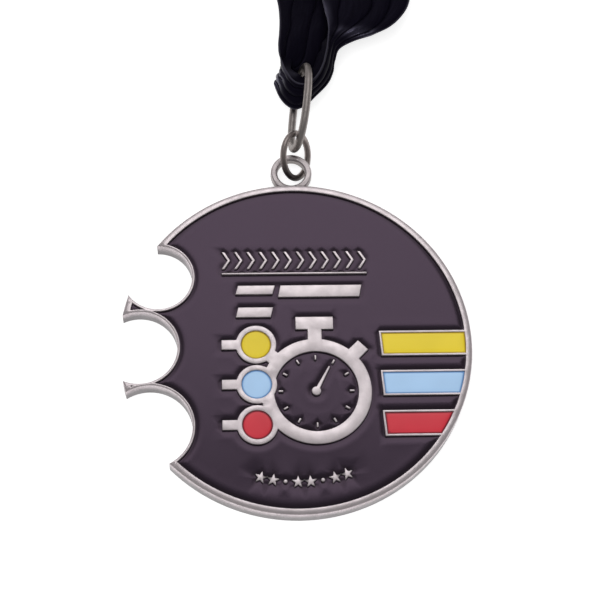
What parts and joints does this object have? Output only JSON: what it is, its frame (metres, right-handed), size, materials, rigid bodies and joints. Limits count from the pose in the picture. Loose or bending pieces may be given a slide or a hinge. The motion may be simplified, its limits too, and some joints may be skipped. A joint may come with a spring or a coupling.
{
  "type": "sports finisher medal",
  "caption": "Round die-cast finisher medal with three edge bites, enamelled face, hanging loop, two linking rings and a folded neck ribbon.",
  "frame": {"origin": "middle of the disc's flat back face", "axes": "+Z out of the medal's face, +Y from the disc's middle towards the hanging loop and ribbon, +X to the right of the face"},
  "size_m": [0.0645, 0.1739, 0.0097],
  "materials": {
    "plated_casting": "antique nickel plate over cast zinc alloy",
    "black_enamel": "glossy soft enamel",
    "yellow_enamel": "glossy soft enamel",
    "blue_enamel": "glossy soft enamel",
    "red_enamel": "glossy soft enamel",
    "ring_wire": "antique nickel plated steel wire",
    "satin_ribbon": "black polyester satin",
    "sewing_thread": "polyester sewing thread",
    "paper_band": "plain uncoated paper"
  },
  "bodies": {
    "medal": {"medal_body": "plated_casting", "hanging_loop": "plated_casting", "black_field_enamel": "black_enamel", "stopwatch_dial_enamel": "black_enamel", "yellow_dot_enamel": "yellow_enamel", "blue_dot_enamel": "blue_enamel", "red_dot_enamel": "red_enamel", "yellow_bar_enamel": "yellow_enamel", "blue_bar_enamel": "blue_enamel", "red_bar_enamel": "red_enamel"},
    "jump_link": {"jump_ring": "ring_wire"},
    "oval_link": {"oval_ring": "ring_wire"},
    "ribbon": {"neck_ribbon": "satin_ribbon", "ribbon_seam_stitches": "sewing_thread", "storage_band": "paper_band"}
  },
  "joints": [
    {"name": "jump_ring_swing", "type": "hinge", "parent": "medal", "child": "jump_link", "pos_m": [-0.00111, 0.03912, 0.00265], "axis": [0.8688, -0.2823, 0.4067], "range_deg": [-30, 60]},
    {"name": "oval_ring_swing", "type": "hinge", "parent": "jump_link", "child": "oval_link", "pos_m": [0.00082, 0.04315, 0.00517], "axis": [0.933, -0.0326, -0.3584], "range_deg": [-30, 60]},
    {"name": "ribbon_swing", "type": "hinge", "parent": "oval_link", "child": "ribbon", "pos_m": [0.00249, 0.05305, 0.00493], "axis": [0.9449, -0.1127, -0.3074], "range_deg": [-30, 30]}
  ]
}
